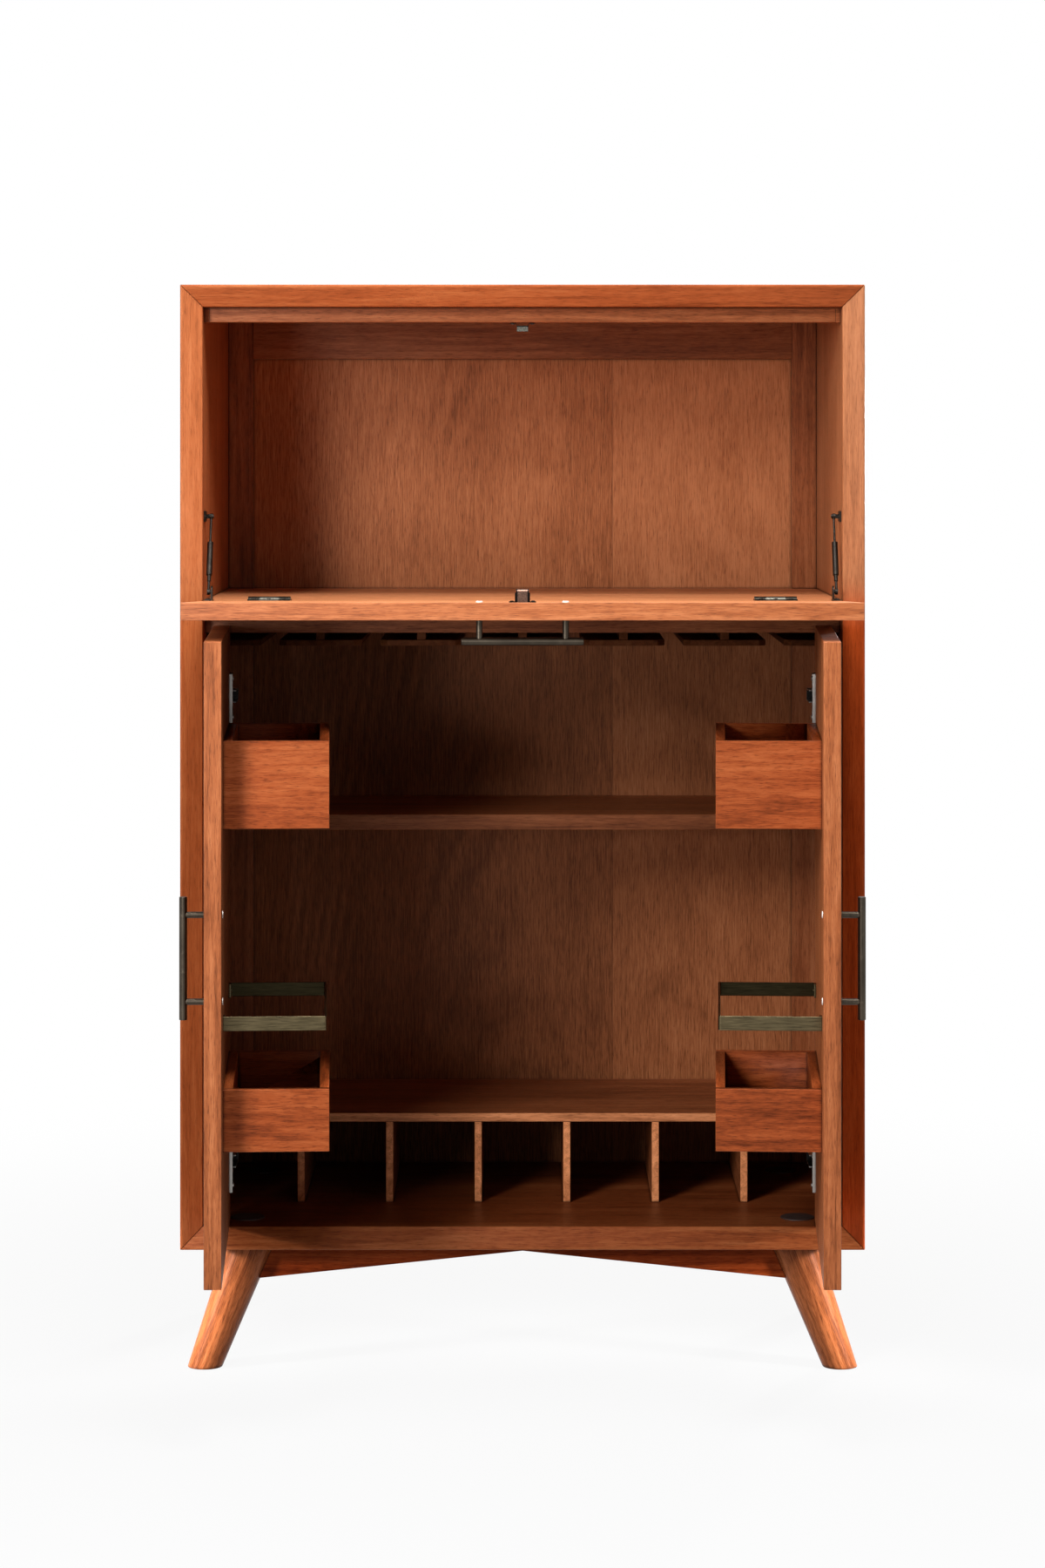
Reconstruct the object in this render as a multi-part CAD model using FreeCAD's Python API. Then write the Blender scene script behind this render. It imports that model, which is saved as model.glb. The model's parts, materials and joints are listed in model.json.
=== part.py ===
import FreeCAD, Part
import math
import os

# Bar armoire: a mitred case on splayed legs, a drop front above and two doors below.
# Millimetres, +X to the viewer's right, +Y to the back, +Z up. Modelled with the
# drop front down and both doors open, standing on the floor at Z = 0.

V = FreeCAD.Vector
X_AXIS = V(1, 0, 0)
Y_AXIS = V(0, 1, 0)
Z_AXIS = V(0, 0, 1)
ORIGIN = V(0, 0, 0)
upright_share = 0.7

# Overall sizes
case_width = 914.0
case_depth = 470.0
case_height = 1288.0
leg_height = 172.0

# Case boards, joined by mitres, with a bevelled front edge
board = 29.0
front_land = 4.0
bevel_depth = 12.0
panel_recess = 13.0
overrun = 2.0

# Back panel in its rabbet, and the frame that stiffens it
back_thickness = 6.0
back_recess = 1.0
rabbet_width = 9.0
rabbet_clearance = 0.5
stile_width = 36.0
stile_thickness = 12.0
back_rail_height = 60.0

# Upper compartment
upper_height = 394.0
floor_thickness = 22.0
floor_rail_height = 22.0
floor_rail_depth = 22.0
floor_rail_setback = 50.0
top_rail_height = 20.0
top_rail_depth = 22.0
top_rail_end_gap = 7.0

# Lower compartment
shelf_setback = 173.0
housing_depth = 7.0
middle_shelf_thickness = 21.0
middle_shelf_drop = 279.0
cubby_height = 111.0
wine_shelf_thickness = 12.0
divider_thickness = 10.0
cubby_count = 7

# Stemware rack: hanging webs, each with a wide slat along its lower edge
stem_slot_count = 6
stem_end_width = 73.0
stem_slot_width = 25.0
stem_web_thickness = 12.0
stem_web_height = 33.0
stem_slat_thickness = 8.0
stem_front_gap = 6.0
stem_corner = 10.0

# Legs and the gull-wing aprons between them
leg_inset = 71.0
leg_top_inset = 91.0
leg_foot_inset = 27.0
leg_top_diameter = 62.0
leg_foot_diameter = 44.0
apron_thickness = 22.0
apron_leg_height = 54.0
apron_middle_height = 14.0
apron_clearance = 0.2

# Doors
door_thickness = 22.0
door_side_gap = 3.0
door_middle_gap = 3.0
door_base_gap = 2.5
door_top_gap = 12.0
door_open_angle = 87.0

# Door hinges: a cup in the door, a pin across the cup and an arm on the case side
hinge_setback = 21.5
hinge_depth = 11.0
lower_hinge_level = 79.5
upper_hinge_drop = 96.0
cup_diameter = 35.0
cup_depth = 16.0
cup_wall = 1.0
flange_height = 66.0
flange_reach = 20.0
flange_thickness = 4.0
pin_radius = 1.4
pin_clearance = 0.08
barrel_radius = 3.4
barrel_height = 12.0
arm_thickness = 5.0
arm_start = 52.0
arm_length = 46.0
arm_height = 14.0
crank_reach = 17.0
crank_height = 17.0
crank_wall = 1.6
plate_length = 52.0
plate_height = 44.0
plate_thickness = 2.0
arm_notch_clearance = 1.0

# Door bins and the bottle guard rail
bin_start = 58.0
bin_end_gap = 60.5
bin_projection = 133.0
bin_wall = 12.0
bin_base = 8.0
upper_bin_height = 110.0
upper_bin_drop = 127.0
lower_bin_height = 78.0
lower_bin_level = 161.0
guard_height = 18.0
guard_thickness = 3.0
guard_level = 312.0
guard_inset = 3.0
guard_tab = 16.0
guard_bend = 4.0

# Bar pulls
pull_length = 153.0
pull_centres = 108.0
pull_radius = 5.0
pull_post_radius = 4.0
pull_stand_off = 26.5
pull_inset = 38.0
door_pull_level = 407.0

# Drop front and its hinges
flap_thickness = 22.0
flap_side_gap = 4.0
flap_top_gap = 4.0
flap_hinge_gap = 1.0
flap_tilt = 2.0
flap_hinge_inset = 88.0
leaf_length = 57.0
leaf_width = 13.0
leaf_thickness = 2.0
knuckle_radius = 5.5
knuckle_gap = 0.3
knuckle_middle = 30.0
leaf_pin_radius = 1.0
knuckle_room = 0.4
notch_end_room = 4.5

# Magnetic catch of the drop front
catch_inset = 27.0
catch_width = 15.0
tongue_width = 19.0
tongue_shoulder = 1.5
catch_rise = 17.0
catch_depth = 9.0
catch_plate_length = 34.0
catch_plate_width = 14.0
catch_plate_thickness = 1.5
catch_gap = 0.5
catch_box_drop = 12.0
catch_box_depth = 5.0
catch_ear_length = 8.0
catch_shoulder_drop = 4.0

# Telescopic stays of the drop front
stay_offset = 9.0
stay_pivot_back = 9.5
stay_pivot_rise = 113.0
stay_foot_reach = 35.0
stay_foot_rise = 12.0
stay_rod_radius = 1.5
stay_eye_radius = 3.8
stay_eye_thickness = 4.0
stay_foot_eye_radius = 4.0
sleeve_radius = 4.0
sleeve_lip = 0.75
sleeve_collar = 9.0
sleeve_clearance = 0.35
sleeve_start = 38.0
sleeve_end_wall = 2.0
neck_radius = 1.8
rod_engagement = 22.0
rod_end_gap = 1.0
stay_pin_radius = 2.0
stay_head_radius = 2.8
stay_head_thickness = 1.2
stay_plate_width = 28.0
stay_plate_height = 14.0
stay_plate_thickness = 2.0
stay_bracket_length = 34.0
stay_bracket_edge = 1.0
stay_ear_length = 16.0

# Levels and planes that several pieces share
half_width = case_width / 2
inner_half = half_width - board
base_z = leg_height
top_z = leg_height + case_height
inner_floor = base_z + board
inner_ceiling = top_z - board
leg_top_offset = half_width - leg_top_inset
leg_foot_offset = half_width - leg_foot_inset
back_face = case_depth - back_recess - back_thickness
stile_face = back_face - stile_thickness
floor_top = inner_ceiling - upper_height
floor_base = floor_top - floor_thickness
floor_rail_base = floor_base - floor_rail_height
middle_shelf_base = floor_base - middle_shelf_drop - middle_shelf_thickness
middle_shelf_zs = (middle_shelf_base, middle_shelf_base + middle_shelf_thickness)
wine_shelf_base = inner_floor + cubby_height
wine_shelf_zs = (wine_shelf_base, wine_shelf_base + wine_shelf_thickness)
housed = (-inner_half - housing_depth, inner_half + housing_depth)
stem_reach = 2 * (inner_half - stem_end_width) - stem_slot_width
stem_slot_pitch = stem_reach / (stem_slot_count - 1)

door_width = inner_half - door_side_gap - door_middle_gap / 2
door_base = inner_floor + door_base_gap
door_top = floor_base - door_top_gap
door_edge_x = -inner_half + door_side_gap
door_face_y = panel_recess
door_back_y = panel_recess + door_thickness
door_pivot = V(door_edge_x + hinge_setback, door_face_y + hinge_depth, 0)
hinge_levels = (lower_hinge_level, door_top - upper_hinge_drop - inner_floor)
bin_length = door_width - bin_start - bin_end_gap
upper_bin_level = door_top - upper_bin_drop - upper_bin_height - inner_floor

flap_axis_y = panel_recess + flap_thickness
flap_axis = V(0, flap_axis_y, floor_top)
flap_half = inner_half - flap_side_gap
flap_hinge_offset = inner_half - flap_hinge_inset
flap_reach = upper_height - flap_top_gap
floor_front = flap_axis_y + flap_hinge_gap


def block(xs, ys, zs):
    """Box from low and high pairs."""
    return Part.makeBox(xs[1] - xs[0], ys[1] - ys[0], zs[1] - zs[0], V(xs[0], ys[0], zs[0]))


def slab_xz(points, ys):
    """Outline of X, Z points, extruded along Y."""
    corners = [V(x, ys[0], z) for x, z in points]
    face = Part.Face(Part.makePolygon(corners + corners[:1]))
    return face.extrude(V(0, ys[1] - ys[0], 0))


def slab_xy(points, zs):
    """Outline of X, Y points, extruded along Z."""
    corners = [V(x, y, zs[0]) for x, y in points]
    face = Part.Face(Part.makePolygon(corners + corners[:1]))
    return face.extrude(V(0, 0, zs[1] - zs[0]))


def bar(start, end, radius):
    """Round bar from one point to another."""
    span = end - start
    return Part.makeCylinder(radius, span.Length, start, span)


def fuse(shapes):
    """One clean solid from overlapping or touching shapes."""
    return shapes[0].multiFuse(shapes[1:]).removeSplitter()


def group(shapes):
    """Several separate solids in one node."""
    return Part.makeCompound(shapes)


def upright_edges(shape):
    """Edges that run along Z."""
    return [edge for edge in shape.Edges if abs(edge.tangentAt(edge.FirstParameter).z) > upright_share]


def mirrored(shape):
    """The same shape on the other side of the middle plane."""
    return shape.mirror(ORIGIN, X_AXIS)


def ring_xz(half, low, high, y):
    """Rectangular wire in the plane of one Y."""
    corners = [V(-half, y, low), V(half, y, low), V(half, y, high), V(-half, y, high)]
    return Part.makePolygon(corners + corners[:1])


def leg_cone(side, y, clearance):
    """Taper of one leg, longer than the leg at both ends, or the room that it needs."""
    top = V(side * leg_top_offset, y, base_z)
    foot = V(side * leg_foot_offset, y, 0)
    run = foot - top
    spare = leg_top_diameter / run.Length
    taper = leg_top_diameter - leg_foot_diameter
    start = top - run * spare
    start_radius = (leg_top_diameter + taper * spare) / 2 + clearance
    end_radius = (leg_foot_diameter - taper * spare) / 2 + clearance
    length = run.Length * (1 + 2 * spare)
    return Part.makeCone(start_radius, end_radius, length, start, run)


def leg(side, y):
    """Round tapered leg, cut level at the case and at the floor."""
    room = block((-case_width, case_width), (-case_depth, 2 * case_depth), (0, base_z))
    return leg_cone(side, y, 0).common(room)


def apron(y):
    """Board between two legs, rising in a shallow V to the middle of the case."""
    splay = (leg_foot_offset - leg_top_offset) / leg_height
    end = leg_top_offset + splay * apron_leg_height
    end_z = base_z - apron_leg_height
    middle_z = base_z - apron_middle_height
    outline = [(-end, base_z), (end, base_z), (end, end_z), (0, middle_z), (-end, end_z)]
    shape = slab_xz(outline, (y - apron_thickness / 2, y + apron_thickness / 2))
    for side in (-1, 1):
        shape = shape.cut(leg_cone(side, y, apron_clearance))
    return shape


def make_base():
    """Legs and aprons, in a front and a rear row."""
    nodes = {}
    rows = {"front": leg_inset, "rear": case_depth - leg_inset}
    for row, y in rows.items():
        nodes["legs_%s" % row] = group([leg(-1, y), leg(1, y)])
        nodes["apron_%s" % row] = apron(y)
    return nodes


def housed_boards():
    """Upper floor and both shelves, whose ends sit in grooves of the case sides."""
    return {
        "upper_floor": block(housed, (floor_front, back_face), (floor_base, floor_top)),
        "middle_shelf": block(housed, (shelf_setback, stile_face), middle_shelf_zs),
        "wine_shelf": block(housed, (shelf_setback, stile_face), wine_shelf_zs),
    }


def make_case():
    """Four mitred boards with a bevelled front, and the back in its rabbet."""
    ys = (0, case_depth)
    outer = [(x, z) for z in (base_z, top_z) for x in (-half_width, half_width)]
    inner = [(x, z) for z in (inner_floor, inner_ceiling) for x in (-inner_half, inner_half)]
    boards = {
        "case_top": [outer[2], outer[3], inner[3], inner[2]],
        "case_bottom": [outer[0], inner[0], inner[1], outer[1]],
        "case_side_left": [outer[0], outer[2], inner[2], inner[0]],
        "case_side_right": [outer[1], inner[1], inner[3], outer[3]],
    }
    land_ring = ring_xz(half_width - front_land, base_z + front_land, top_z - front_land, 0)
    inner_ring = ring_xz(inner_half, inner_floor, inner_ceiling, bevel_depth)
    bevel = Part.makeLoft([land_ring, inner_ring], True, True)
    rabbet_half = inner_half + rabbet_width
    rabbet_zs = (inner_floor - rabbet_width, inner_ceiling + rabbet_width)
    rabbet = block((-rabbet_half, rabbet_half), (back_face, case_depth + overrun), rabbet_zs)
    nodes = {name: slab_xz(points, ys).cut(bevel).cut(rabbet) for name, points in boards.items()}
    for side in ("left", "right"):
        name = "case_side_%s" % side
        nodes[name] = nodes[name].cut(group(list(housed_boards().values())))
    panel_half = rabbet_half - rabbet_clearance
    panel_zs = (rabbet_zs[0] + rabbet_clearance, rabbet_zs[1] - rabbet_clearance)
    nodes["back_panel"] = block((-panel_half, panel_half), (back_face, back_face + back_thickness), panel_zs)
    return nodes


def make_back_frame():
    """Stiles in the back corners of both compartments, and a rail under the top."""
    ys = (stile_face, back_face)
    stiles = []
    for zs in ((inner_floor, floor_base), (floor_top, inner_ceiling)):
        for side in (-1, 1):
            xs = sorted((side * inner_half, side * (inner_half - stile_width)))
            stiles.append(block(xs, ys, zs))
    rail_half = inner_half - stile_width
    rail_zs = (inner_ceiling - back_rail_height, inner_ceiling)
    return {"back_stiles": group(stiles), "back_rail": block((-rail_half, rail_half), ys, rail_zs)}


def make_interior():
    """Floor of the upper compartment, rails, shelves and bottle cubbies."""
    full = (-inner_half, inner_half)
    nodes = housed_boards()
    nodes["upper_floor"] = nodes["upper_floor"].cut(group(knuckle_notches()))
    rail_ys = (floor_rail_setback, floor_rail_setback + floor_rail_depth)
    nodes["floor_rail"] = block(full, rail_ys, (floor_rail_base, floor_base))
    top_half = inner_half - top_rail_end_gap
    top_ys = (floor_front, floor_front + top_rail_depth)
    nodes["top_rail"] = block((-top_half, top_half), top_ys, (inner_ceiling - top_rail_height, inner_ceiling))
    pitch = 2 * inner_half / cubby_count
    dividers = []
    for index in range(1, cubby_count):
        x = -inner_half + index * pitch
        xs = (x - divider_thickness / 2, x + divider_thickness / 2)
        dividers.append(block(xs, (shelf_setback, stile_face), (inner_floor, wine_shelf_base)))
    nodes["wine_dividers"] = group(dividers)
    return nodes


def make_stem_rack():
    """Webs under the upper floor, each with a slat whose front corners guide the stems in."""
    ys = (floor_rail_setback + floor_rail_depth + stem_front_gap, stile_face)
    web_zs = (floor_base - stem_web_height, floor_base)
    slat_zs = (web_zs[0] - stem_slat_thickness, web_zs[0])
    slots = [index * stem_slot_pitch - stem_reach / 2 for index in range(stem_slot_count)]
    edges = [-inner_half]
    for x in slots:
        edges += [x - stem_slot_width / 2, x + stem_slot_width / 2]
    edges.append(inner_half)
    webs = []
    slats = []
    for index in range(stem_slot_count + 1):
        low, high = edges[2 * index], edges[2 * index + 1]
        left_corner = stem_corner if index > 0 else 0
        right_corner = stem_corner if index < stem_slot_count else 0
        front = [(low + left_corner, ys[0]), (high - right_corner, ys[0])]
        rear = [(high, ys[1]), (low, ys[1])]
        outline = front + [(high, ys[0] + right_corner)] + rear + [(low, ys[0] + left_corner)]
        corners = [point for place, point in enumerate(outline) if point not in outline[:place]]
        slats.append(slab_xy(corners, slat_zs))
        web_low = (low + high - stem_web_thickness) / 2
        if index == 0:
            web_low = low
        if index == stem_slot_count:
            web_low = high - stem_web_thickness
        webs.append(block((web_low, web_low + stem_web_thickness), ys, web_zs))
    return {"stem_webs": group(webs), "stem_slats": group(slats)}


def pull(middle, along, outward):
    """Bar pull: a round bar and the two posts that hold it off the panel."""
    centre = middle + outward * pull_stand_off
    half = along * (pull_length / 2)
    handle = bar(centre - half, centre + half, pull_radius)
    posts = []
    for sign in (-1, 1):
        foot = middle + along * (sign * pull_centres / 2)
        post = bar(foot, foot + outward * pull_stand_off, pull_post_radius)
        posts.append(post.cut(handle))
    return handle, group(posts)


def hinge_cup(z):
    """Cup pressed into the door, with its flange on the inner face."""
    centre = V(door_pivot.x, door_back_y - cup_depth, z)
    outer = Part.makeCylinder(cup_diameter / 2, cup_depth, centre, Y_AXIS)
    inner_start = centre + Y_AXIS * cup_wall
    hollow_depth = cup_depth + flange_thickness
    hollow = Part.makeCylinder(cup_diameter / 2 - cup_wall, hollow_depth, inner_start, Y_AXIS)
    flange_xs = (door_pivot.x - cup_diameter / 2, door_pivot.x + flange_reach)
    flange_ys = (door_back_y, door_back_y + flange_thickness)
    flange = block(flange_xs, flange_ys, (z - flange_height / 2, z + flange_height / 2))
    return fuse([outer, flange]).cut(hollow).cut(arm_notch(z))


def hinge_pin(z):
    """Pin across the cup, on the door's axis, whose ends bear on the cup's wall."""
    half = cup_diameter / 2 - cup_wall - pin_clearance
    low = V(door_pivot.x, door_pivot.y, z - half)
    return Part.makeCylinder(pin_radius, 2 * half, low)


def arm_notch(z):
    """Room for the hinge arm, from the cup out through the door's edge."""
    half = barrel_height / 2 + arm_notch_clearance
    xs = (door_edge_x - overrun, door_pivot.x)
    ys = (door_back_y - cup_depth, door_back_y + cup_depth)
    return block(xs, ys, (z - half, z + half))


def hinge_arm(z):
    """Arm on the case side: a plate, a channelled crank and the barrel round the door's pin."""
    wall = -inner_half
    plate_ys = (arm_start, arm_start + plate_length)
    plate_zs = (z - plate_height / 2, z + plate_height / 2)
    plate = block((wall, wall + plate_thickness), plate_ys, plate_zs)
    neck_half = arm_thickness / 2
    neck_zs = (z - barrel_height / 2, z + barrel_height / 2)
    neck_xs = (door_pivot.x - neck_half, door_pivot.x + neck_half)
    neck = block(neck_xs, (door_pivot.y, arm_start + arm_thickness), neck_zs)
    body_xs = (wall + plate_thickness, door_pivot.x + neck_half)
    body = block(body_xs, (arm_start, arm_start + arm_length), (z - arm_height / 2, z + arm_height / 2))
    crank_xs = (door_pivot.x - neck_half, door_pivot.x + crank_reach)
    crank_half = crank_height / 2
    crank = block(crank_xs, (arm_start, arm_start + arm_length), (z - crank_half, z + crank_half))
    channel_xs = (door_pivot.x + neck_half, door_pivot.x + crank_reach + overrun)
    channel_half = crank_half - crank_wall
    channel_ys = (arm_start - overrun, arm_start + arm_length - crank_wall)
    crank = crank.cut(block(channel_xs, channel_ys, (z - channel_half, z + channel_half)))
    barrel_base = V(door_pivot.x, door_pivot.y, neck_zs[0])
    barrel = Part.makeCylinder(barrel_radius, barrel_height, barrel_base)
    bore = Part.makeCylinder(pin_radius + pin_clearance, barrel_height, barrel_base)
    return fuse([plate, body, crank, neck, barrel]).cut(bore)


def door_bin(level, height):
    """Open box on the door: two ends, two long walls and a base."""
    x0 = door_edge_x + bin_start
    x1 = x0 + bin_length
    y0 = door_back_y
    y1 = y0 + bin_projection
    z0 = inner_floor + level
    z1 = z0 + height
    inner_xs = (x0 + bin_wall, x1 - bin_wall)
    boards = [
        block((x0, x0 + bin_wall), (y0, y1), (z0, z1)),
        block((x1 - bin_wall, x1), (y0, y1), (z0, z1)),
        block(inner_xs, (y0, y0 + bin_wall), (z0, z1)),
        block(inner_xs, (y1 - bin_wall, y1), (z0, z1)),
        block(inner_xs, (y0 + bin_wall, y1 - bin_wall), (z0, z0 + bin_base)),
    ]
    return group(boards)


def bottle_guard():
    """Flat bar bent round three sides, with a tab at each end on the door."""
    x0 = door_edge_x + bin_start + guard_inset
    x1 = door_edge_x + bin_start + bin_length - guard_inset
    y0 = door_back_y
    y1 = y0 + bin_projection - guard_inset
    zs = (inner_floor + guard_level, inner_floor + guard_level + guard_height)
    outer = block((x0, x1), (y0, y1), zs)
    bends = [edge for edge in upright_edges(outer) if edge.BoundBox.YMin > y0 + guard_bend]
    outer = outer.makeFillet(guard_bend, bends)
    inner_xs = (x0 + guard_thickness, x1 - guard_thickness)
    inner = block(inner_xs, (y0 - overrun, y1 - guard_thickness), zs)
    inner_bends = [edge for edge in upright_edges(inner) if edge.BoundBox.YMin > y0]
    inner = inner.makeFillet(guard_bend - guard_thickness, inner_bends)
    tab_ys = (y0, y0 + guard_thickness)
    tabs = [
        block((x0, x0 + guard_tab), tab_ys, zs),
        block((x1 - guard_tab, x1), tab_ys, zs),
    ]
    return fuse([outer.cut(inner)] + tabs)


def swing(shape):
    """A door piece turned from closed to the open rest position."""
    turned = shape.copy()
    turned.rotate(door_pivot, Z_AXIS, -door_open_angle)
    return turned


def make_left_door():
    """Left door and what it carries, modelled closed and then swung open."""
    zs = (door_base, door_top)
    hinge_zs = [inner_floor + level for level in hinge_levels]
    panel = block((door_edge_x, door_edge_x + door_width), (door_face_y, door_back_y), zs)
    for z in hinge_zs:
        centre = V(door_pivot.x, door_back_y - cup_depth, z)
        panel = panel.cut(Part.makeCylinder(cup_diameter / 2, cup_depth, centre, Y_AXIS))
        panel = panel.cut(arm_notch(z))
    pull_x = door_edge_x + door_width - pull_inset
    pull_z = inner_floor + door_pull_level
    handle, posts = pull(V(pull_x, door_face_y, pull_z), Z_AXIS, -Y_AXIS)
    closed = {
        "door": panel,
        "pull": handle,
        "pull_posts": posts,
        "hinge_cups": group([hinge_cup(z) for z in hinge_zs]),
        "hinge_pins": group([hinge_pin(z) for z in hinge_zs]),
        "upper_bin": door_bin(upper_bin_level, upper_bin_height),
        "lower_bin": door_bin(lower_bin_level, lower_bin_height),
        "bottle_guard": bottle_guard(),
    }
    nodes = {name: swing(shape) for name, shape in closed.items()}
    nodes["hinge_arms"] = group([hinge_arm(z) for z in hinge_zs])
    return nodes


def knuckle_notches():
    """Room for the knuckles in the edges of the drop front and the floor."""
    cuts = []
    half = leaf_length / 2 + notch_end_room
    for side in (-1, 1):
        x = side * flap_hinge_offset
        ends = [V(end, flap_axis_y, floor_top) for end in (x - half, x + half)]
        cuts.append(bar(ends[0], ends[1], knuckle_radius + knuckle_room))
    return cuts


def hinge_leaf(x, side):
    """One leaf on the boards' faces: -1 is the drop front's, with the middle knuckle; 1 is the floor's."""
    near = knuckle_radius + knuckle_gap
    ys = sorted((flap_axis_y + side * near, flap_axis_y + side * (leaf_width + knuckle_radius)))
    zs = (floor_top, floor_top + leaf_thickness)
    half = leaf_length / 2
    plate = block((x - half, x + half), ys, zs)
    middle = knuckle_middle / 2
    if side < 0:
        spans = [(x - middle, x + middle)]
    else:
        spans = [(x - half, x - middle - knuckle_gap), (x + middle + knuckle_gap, x + half)]
    pieces = [plate]
    for span in spans:
        tab_ys = sorted((flap_axis_y, flap_axis_y + side * near))
        pieces.append(block(span, tab_ys, zs))
        ends = [V(end, flap_axis_y, floor_top) for end in span]
        pieces.append(bar(ends[0], ends[1], knuckle_radius))
    if side < 0:
        return fuse(pieces).cut(leaf_pin(x, pin_clearance))
    return fuse(pieces + [leaf_pin(x, 0)])


def leaf_pin(x, clearance):
    """Pin that is riveted into the outer knuckles, or its bore in the middle one."""
    half = knuckle_middle / 2 + knuckle_gap
    start = V(x - half, flap_axis_y, floor_top)
    end = V(x + half, flap_axis_y, floor_top)
    return bar(start, end, leaf_pin_radius + clearance)


def tilt(shape):
    """A piece of the drop front raised from level to where the stays hold it."""
    turned = shape.copy()
    turned.rotate(flap_axis, X_AXIS, -flap_tilt)
    return turned


def catch_tongue():
    """Tongue of the catch on the drop front: a plate with ears and a block under a round bar."""
    y = flap_axis_y - flap_reach + catch_inset
    plate_half = catch_plate_length / 2
    plate_ys = (y - catch_plate_width / 2, y + catch_plate_width / 2)
    plate = block((-plate_half, plate_half), plate_ys, (floor_top, floor_top + catch_plate_thickness))
    radius = catch_depth / 2
    axis_z = floor_top + catch_rise - radius
    half = tongue_width / 2
    post = block((-half, half), (y - radius, y + radius), (floor_top, axis_z))
    bar_half = half - tongue_shoulder
    crown = bar(V(-bar_half, y, axis_z), V(bar_half, y, axis_z), radius)
    return fuse([plate, post, crown])


def catch_clip():
    """Magnet box of the catch, hung under the top rail by a bent strip with two ears."""
    rail_base = inner_ceiling - top_rail_height
    front = flap_axis_y + catch_rise + catch_gap
    ys = (front, front + catch_box_depth)
    end = catch_plate_length / 2
    bend = end - catch_ear_length
    half = catch_width / 2
    shoulder = rail_base - catch_shoulder_drop
    upper = [(-end, rail_base), (-bend, rail_base), (-half, shoulder)]
    upper += [(-x, z) for x, z in reversed(upper)]
    lower = [(x, z - catch_plate_thickness) for x, z in reversed(upper)]
    box = block((-half, half), ys, (rail_base - catch_box_drop, shoulder - catch_plate_thickness))
    return fuse([slab_xz(upper + lower, ys), box])


def make_flap():
    """Drop front and what it carries, modelled level and then tilted, with its floor hinges."""
    flap_ys = (flap_axis_y - flap_reach, flap_axis_y - flap_hinge_gap)
    panel = block((-flap_half, flap_half), flap_ys, (floor_top - flap_thickness, floor_top))
    panel = panel.cut(group(knuckle_notches()))
    pull_y = flap_ys[0] + pull_inset
    handle, posts = pull(V(0, pull_y, floor_top - flap_thickness), X_AXIS, -Z_AXIS)
    hinges = [side * flap_hinge_offset for side in (-1, 1)]
    level = {
        "flap": panel,
        "flap_pull": handle,
        "flap_pull_posts": posts,
        "flap_hinge_leaves": group([hinge_leaf(x, -1) for x in hinges]),
        "catch_tongue": catch_tongue(),
        "stay_feet": group([stay_foot(), mirrored(stay_foot())]),
    }
    nodes = {name: tilt(shape) for name, shape in level.items()}
    nodes["floor_hinge_leaves"] = group([hinge_leaf(x, 1) for x in hinges])
    nodes["catch_clip"] = catch_clip()
    return nodes


stay_x = -inner_half + stay_offset
stay_pivot = V(stay_x, flap_axis_y + stay_pivot_back, floor_top + stay_pivot_rise)
tilt_sin = math.sin(math.radians(flap_tilt))
tilt_cos = math.cos(math.radians(flap_tilt))
stay_end = V(
    stay_x,
    flap_axis_y - stay_foot_reach * tilt_cos + stay_foot_rise * tilt_sin,
    floor_top + stay_foot_reach * tilt_sin + stay_foot_rise * tilt_cos,
)
stay_run = stay_end - stay_pivot
stay_way = V(stay_run).normalize()
stay_closed_end = V(stay_x, flap_axis_y + stay_foot_rise, floor_top + stay_foot_reach)
stay_travel = stay_run.Length - (stay_closed_end - stay_pivot).Length
sleeve_bore_depth = rod_engagement + stay_travel + rod_end_gap
sleeve_length = sleeve_bore_depth + sleeve_end_wall


def stay_rod():
    """Rod of the left stay, with the eye that turns on the case bracket."""
    half = stay_eye_thickness / 2
    eye = bar(stay_pivot - X_AXIS * half, stay_pivot + X_AXIS * half, stay_eye_radius)
    end = stay_pivot + stay_way * (sleeve_start + rod_engagement)
    hole_half = X_AXIS * stay_eye_thickness
    hole = bar(stay_pivot - hole_half, stay_pivot + hole_half, stay_pin_radius + pin_clearance)
    return fuse([eye, bar(stay_pivot, end, stay_rod_radius)]).cut(hole)


def stay_sleeve():
    """Sleeve of the left stay: a collared tube that slides on the rod and ends in the foot eye."""
    start = stay_pivot + stay_way * sleeve_start
    shoulder = start + stay_way * sleeve_length
    half = X_AXIS * (stay_eye_thickness / 2)
    bore_radius = stay_rod_radius + sleeve_clearance
    collar = bar(start, shoulder, bore_radius + sleeve_lip)
    belly = bar(start, shoulder - stay_way * sleeve_collar, sleeve_radius)
    neck = bar(shoulder, stay_end, neck_radius)
    eye = bar(stay_end - half, stay_end + half, stay_foot_eye_radius)
    bore = bar(start - stay_way * overrun, start + stay_way * sleeve_bore_depth, bore_radius)
    return fuse([collar, belly, neck, eye]).cut(bore)


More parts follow.
